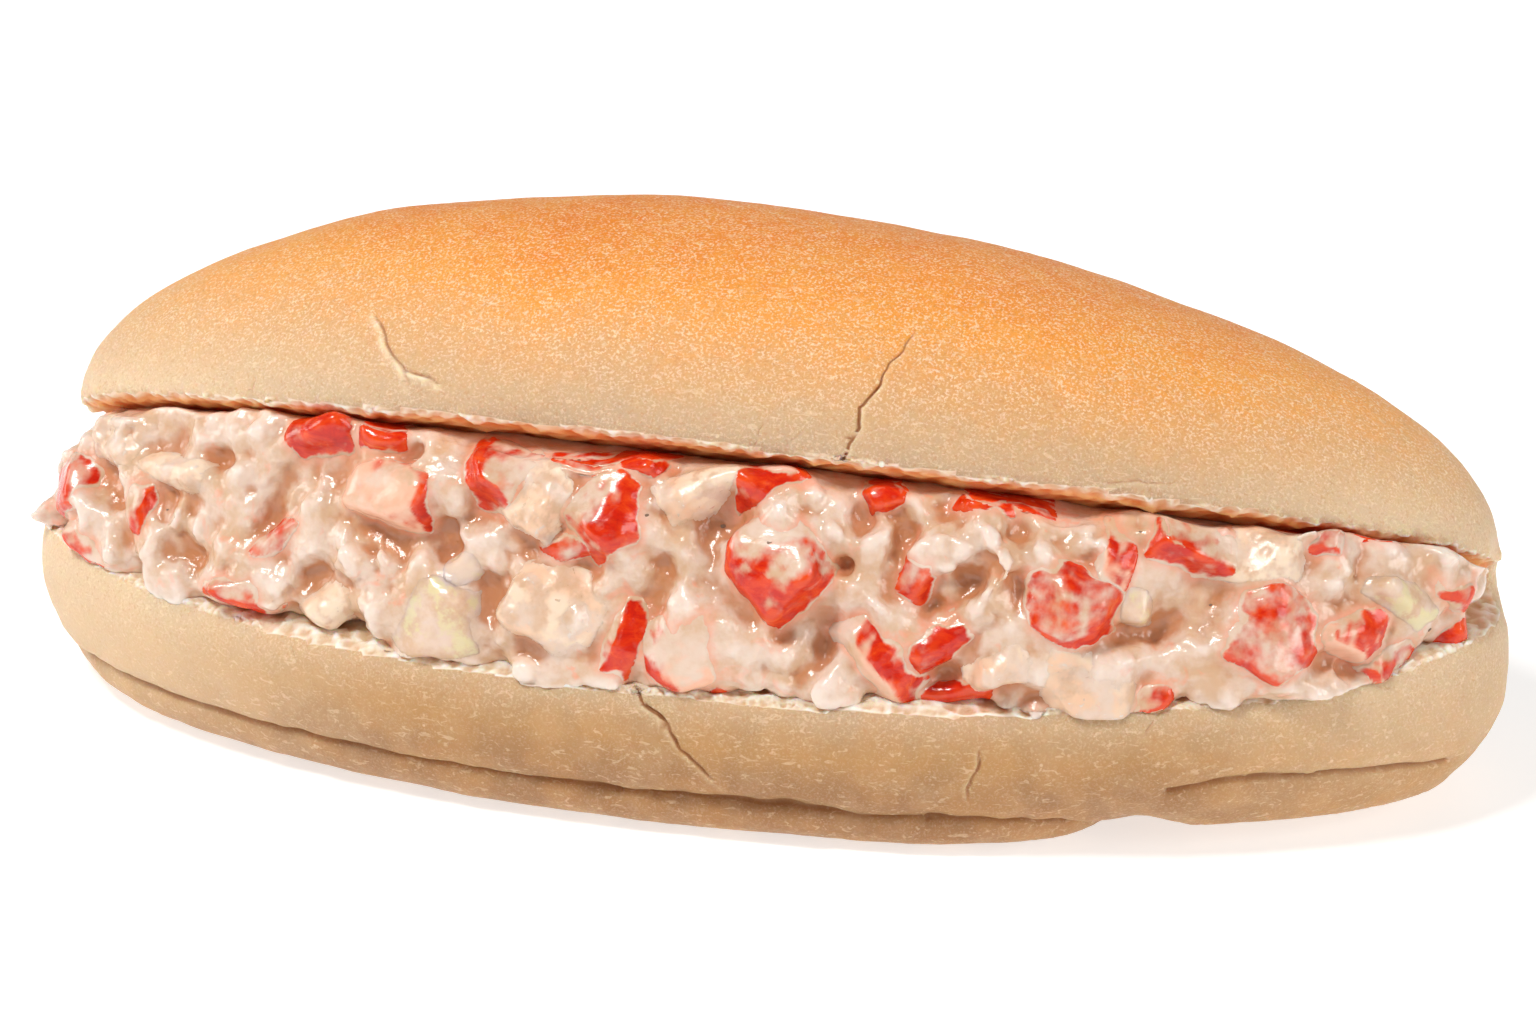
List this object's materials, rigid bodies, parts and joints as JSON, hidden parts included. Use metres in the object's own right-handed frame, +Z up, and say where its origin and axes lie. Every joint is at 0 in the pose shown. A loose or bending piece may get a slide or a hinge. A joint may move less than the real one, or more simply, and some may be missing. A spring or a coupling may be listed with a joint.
{
  "type": "crab salad roll",
  "caption": "Soft white roll, slit along its front and opened on the uncut bread at its back, with a heap of dressed crab salad bulging out between crown and base.",
  "frame": {"origin": "on the table, under the middle of the sandwich's bounding box", "axes": "+X along the roll towards its slimmer right end, -Y out of the opening that shows the salad, +Z up"},
  "size_m": [0.1932, 0.0774, 0.0675],
  "materials": {
    "bread_crust": "soft baked crust, pale at the cut edge and golden on top",
    "crab_salad": "wet creamy dressing over red and white crab sticks"
  },
  "bodies": {
    "root": {"roll": "bread_crust", "crab_salad": "crab_salad"}
  },
  "joints": []
}
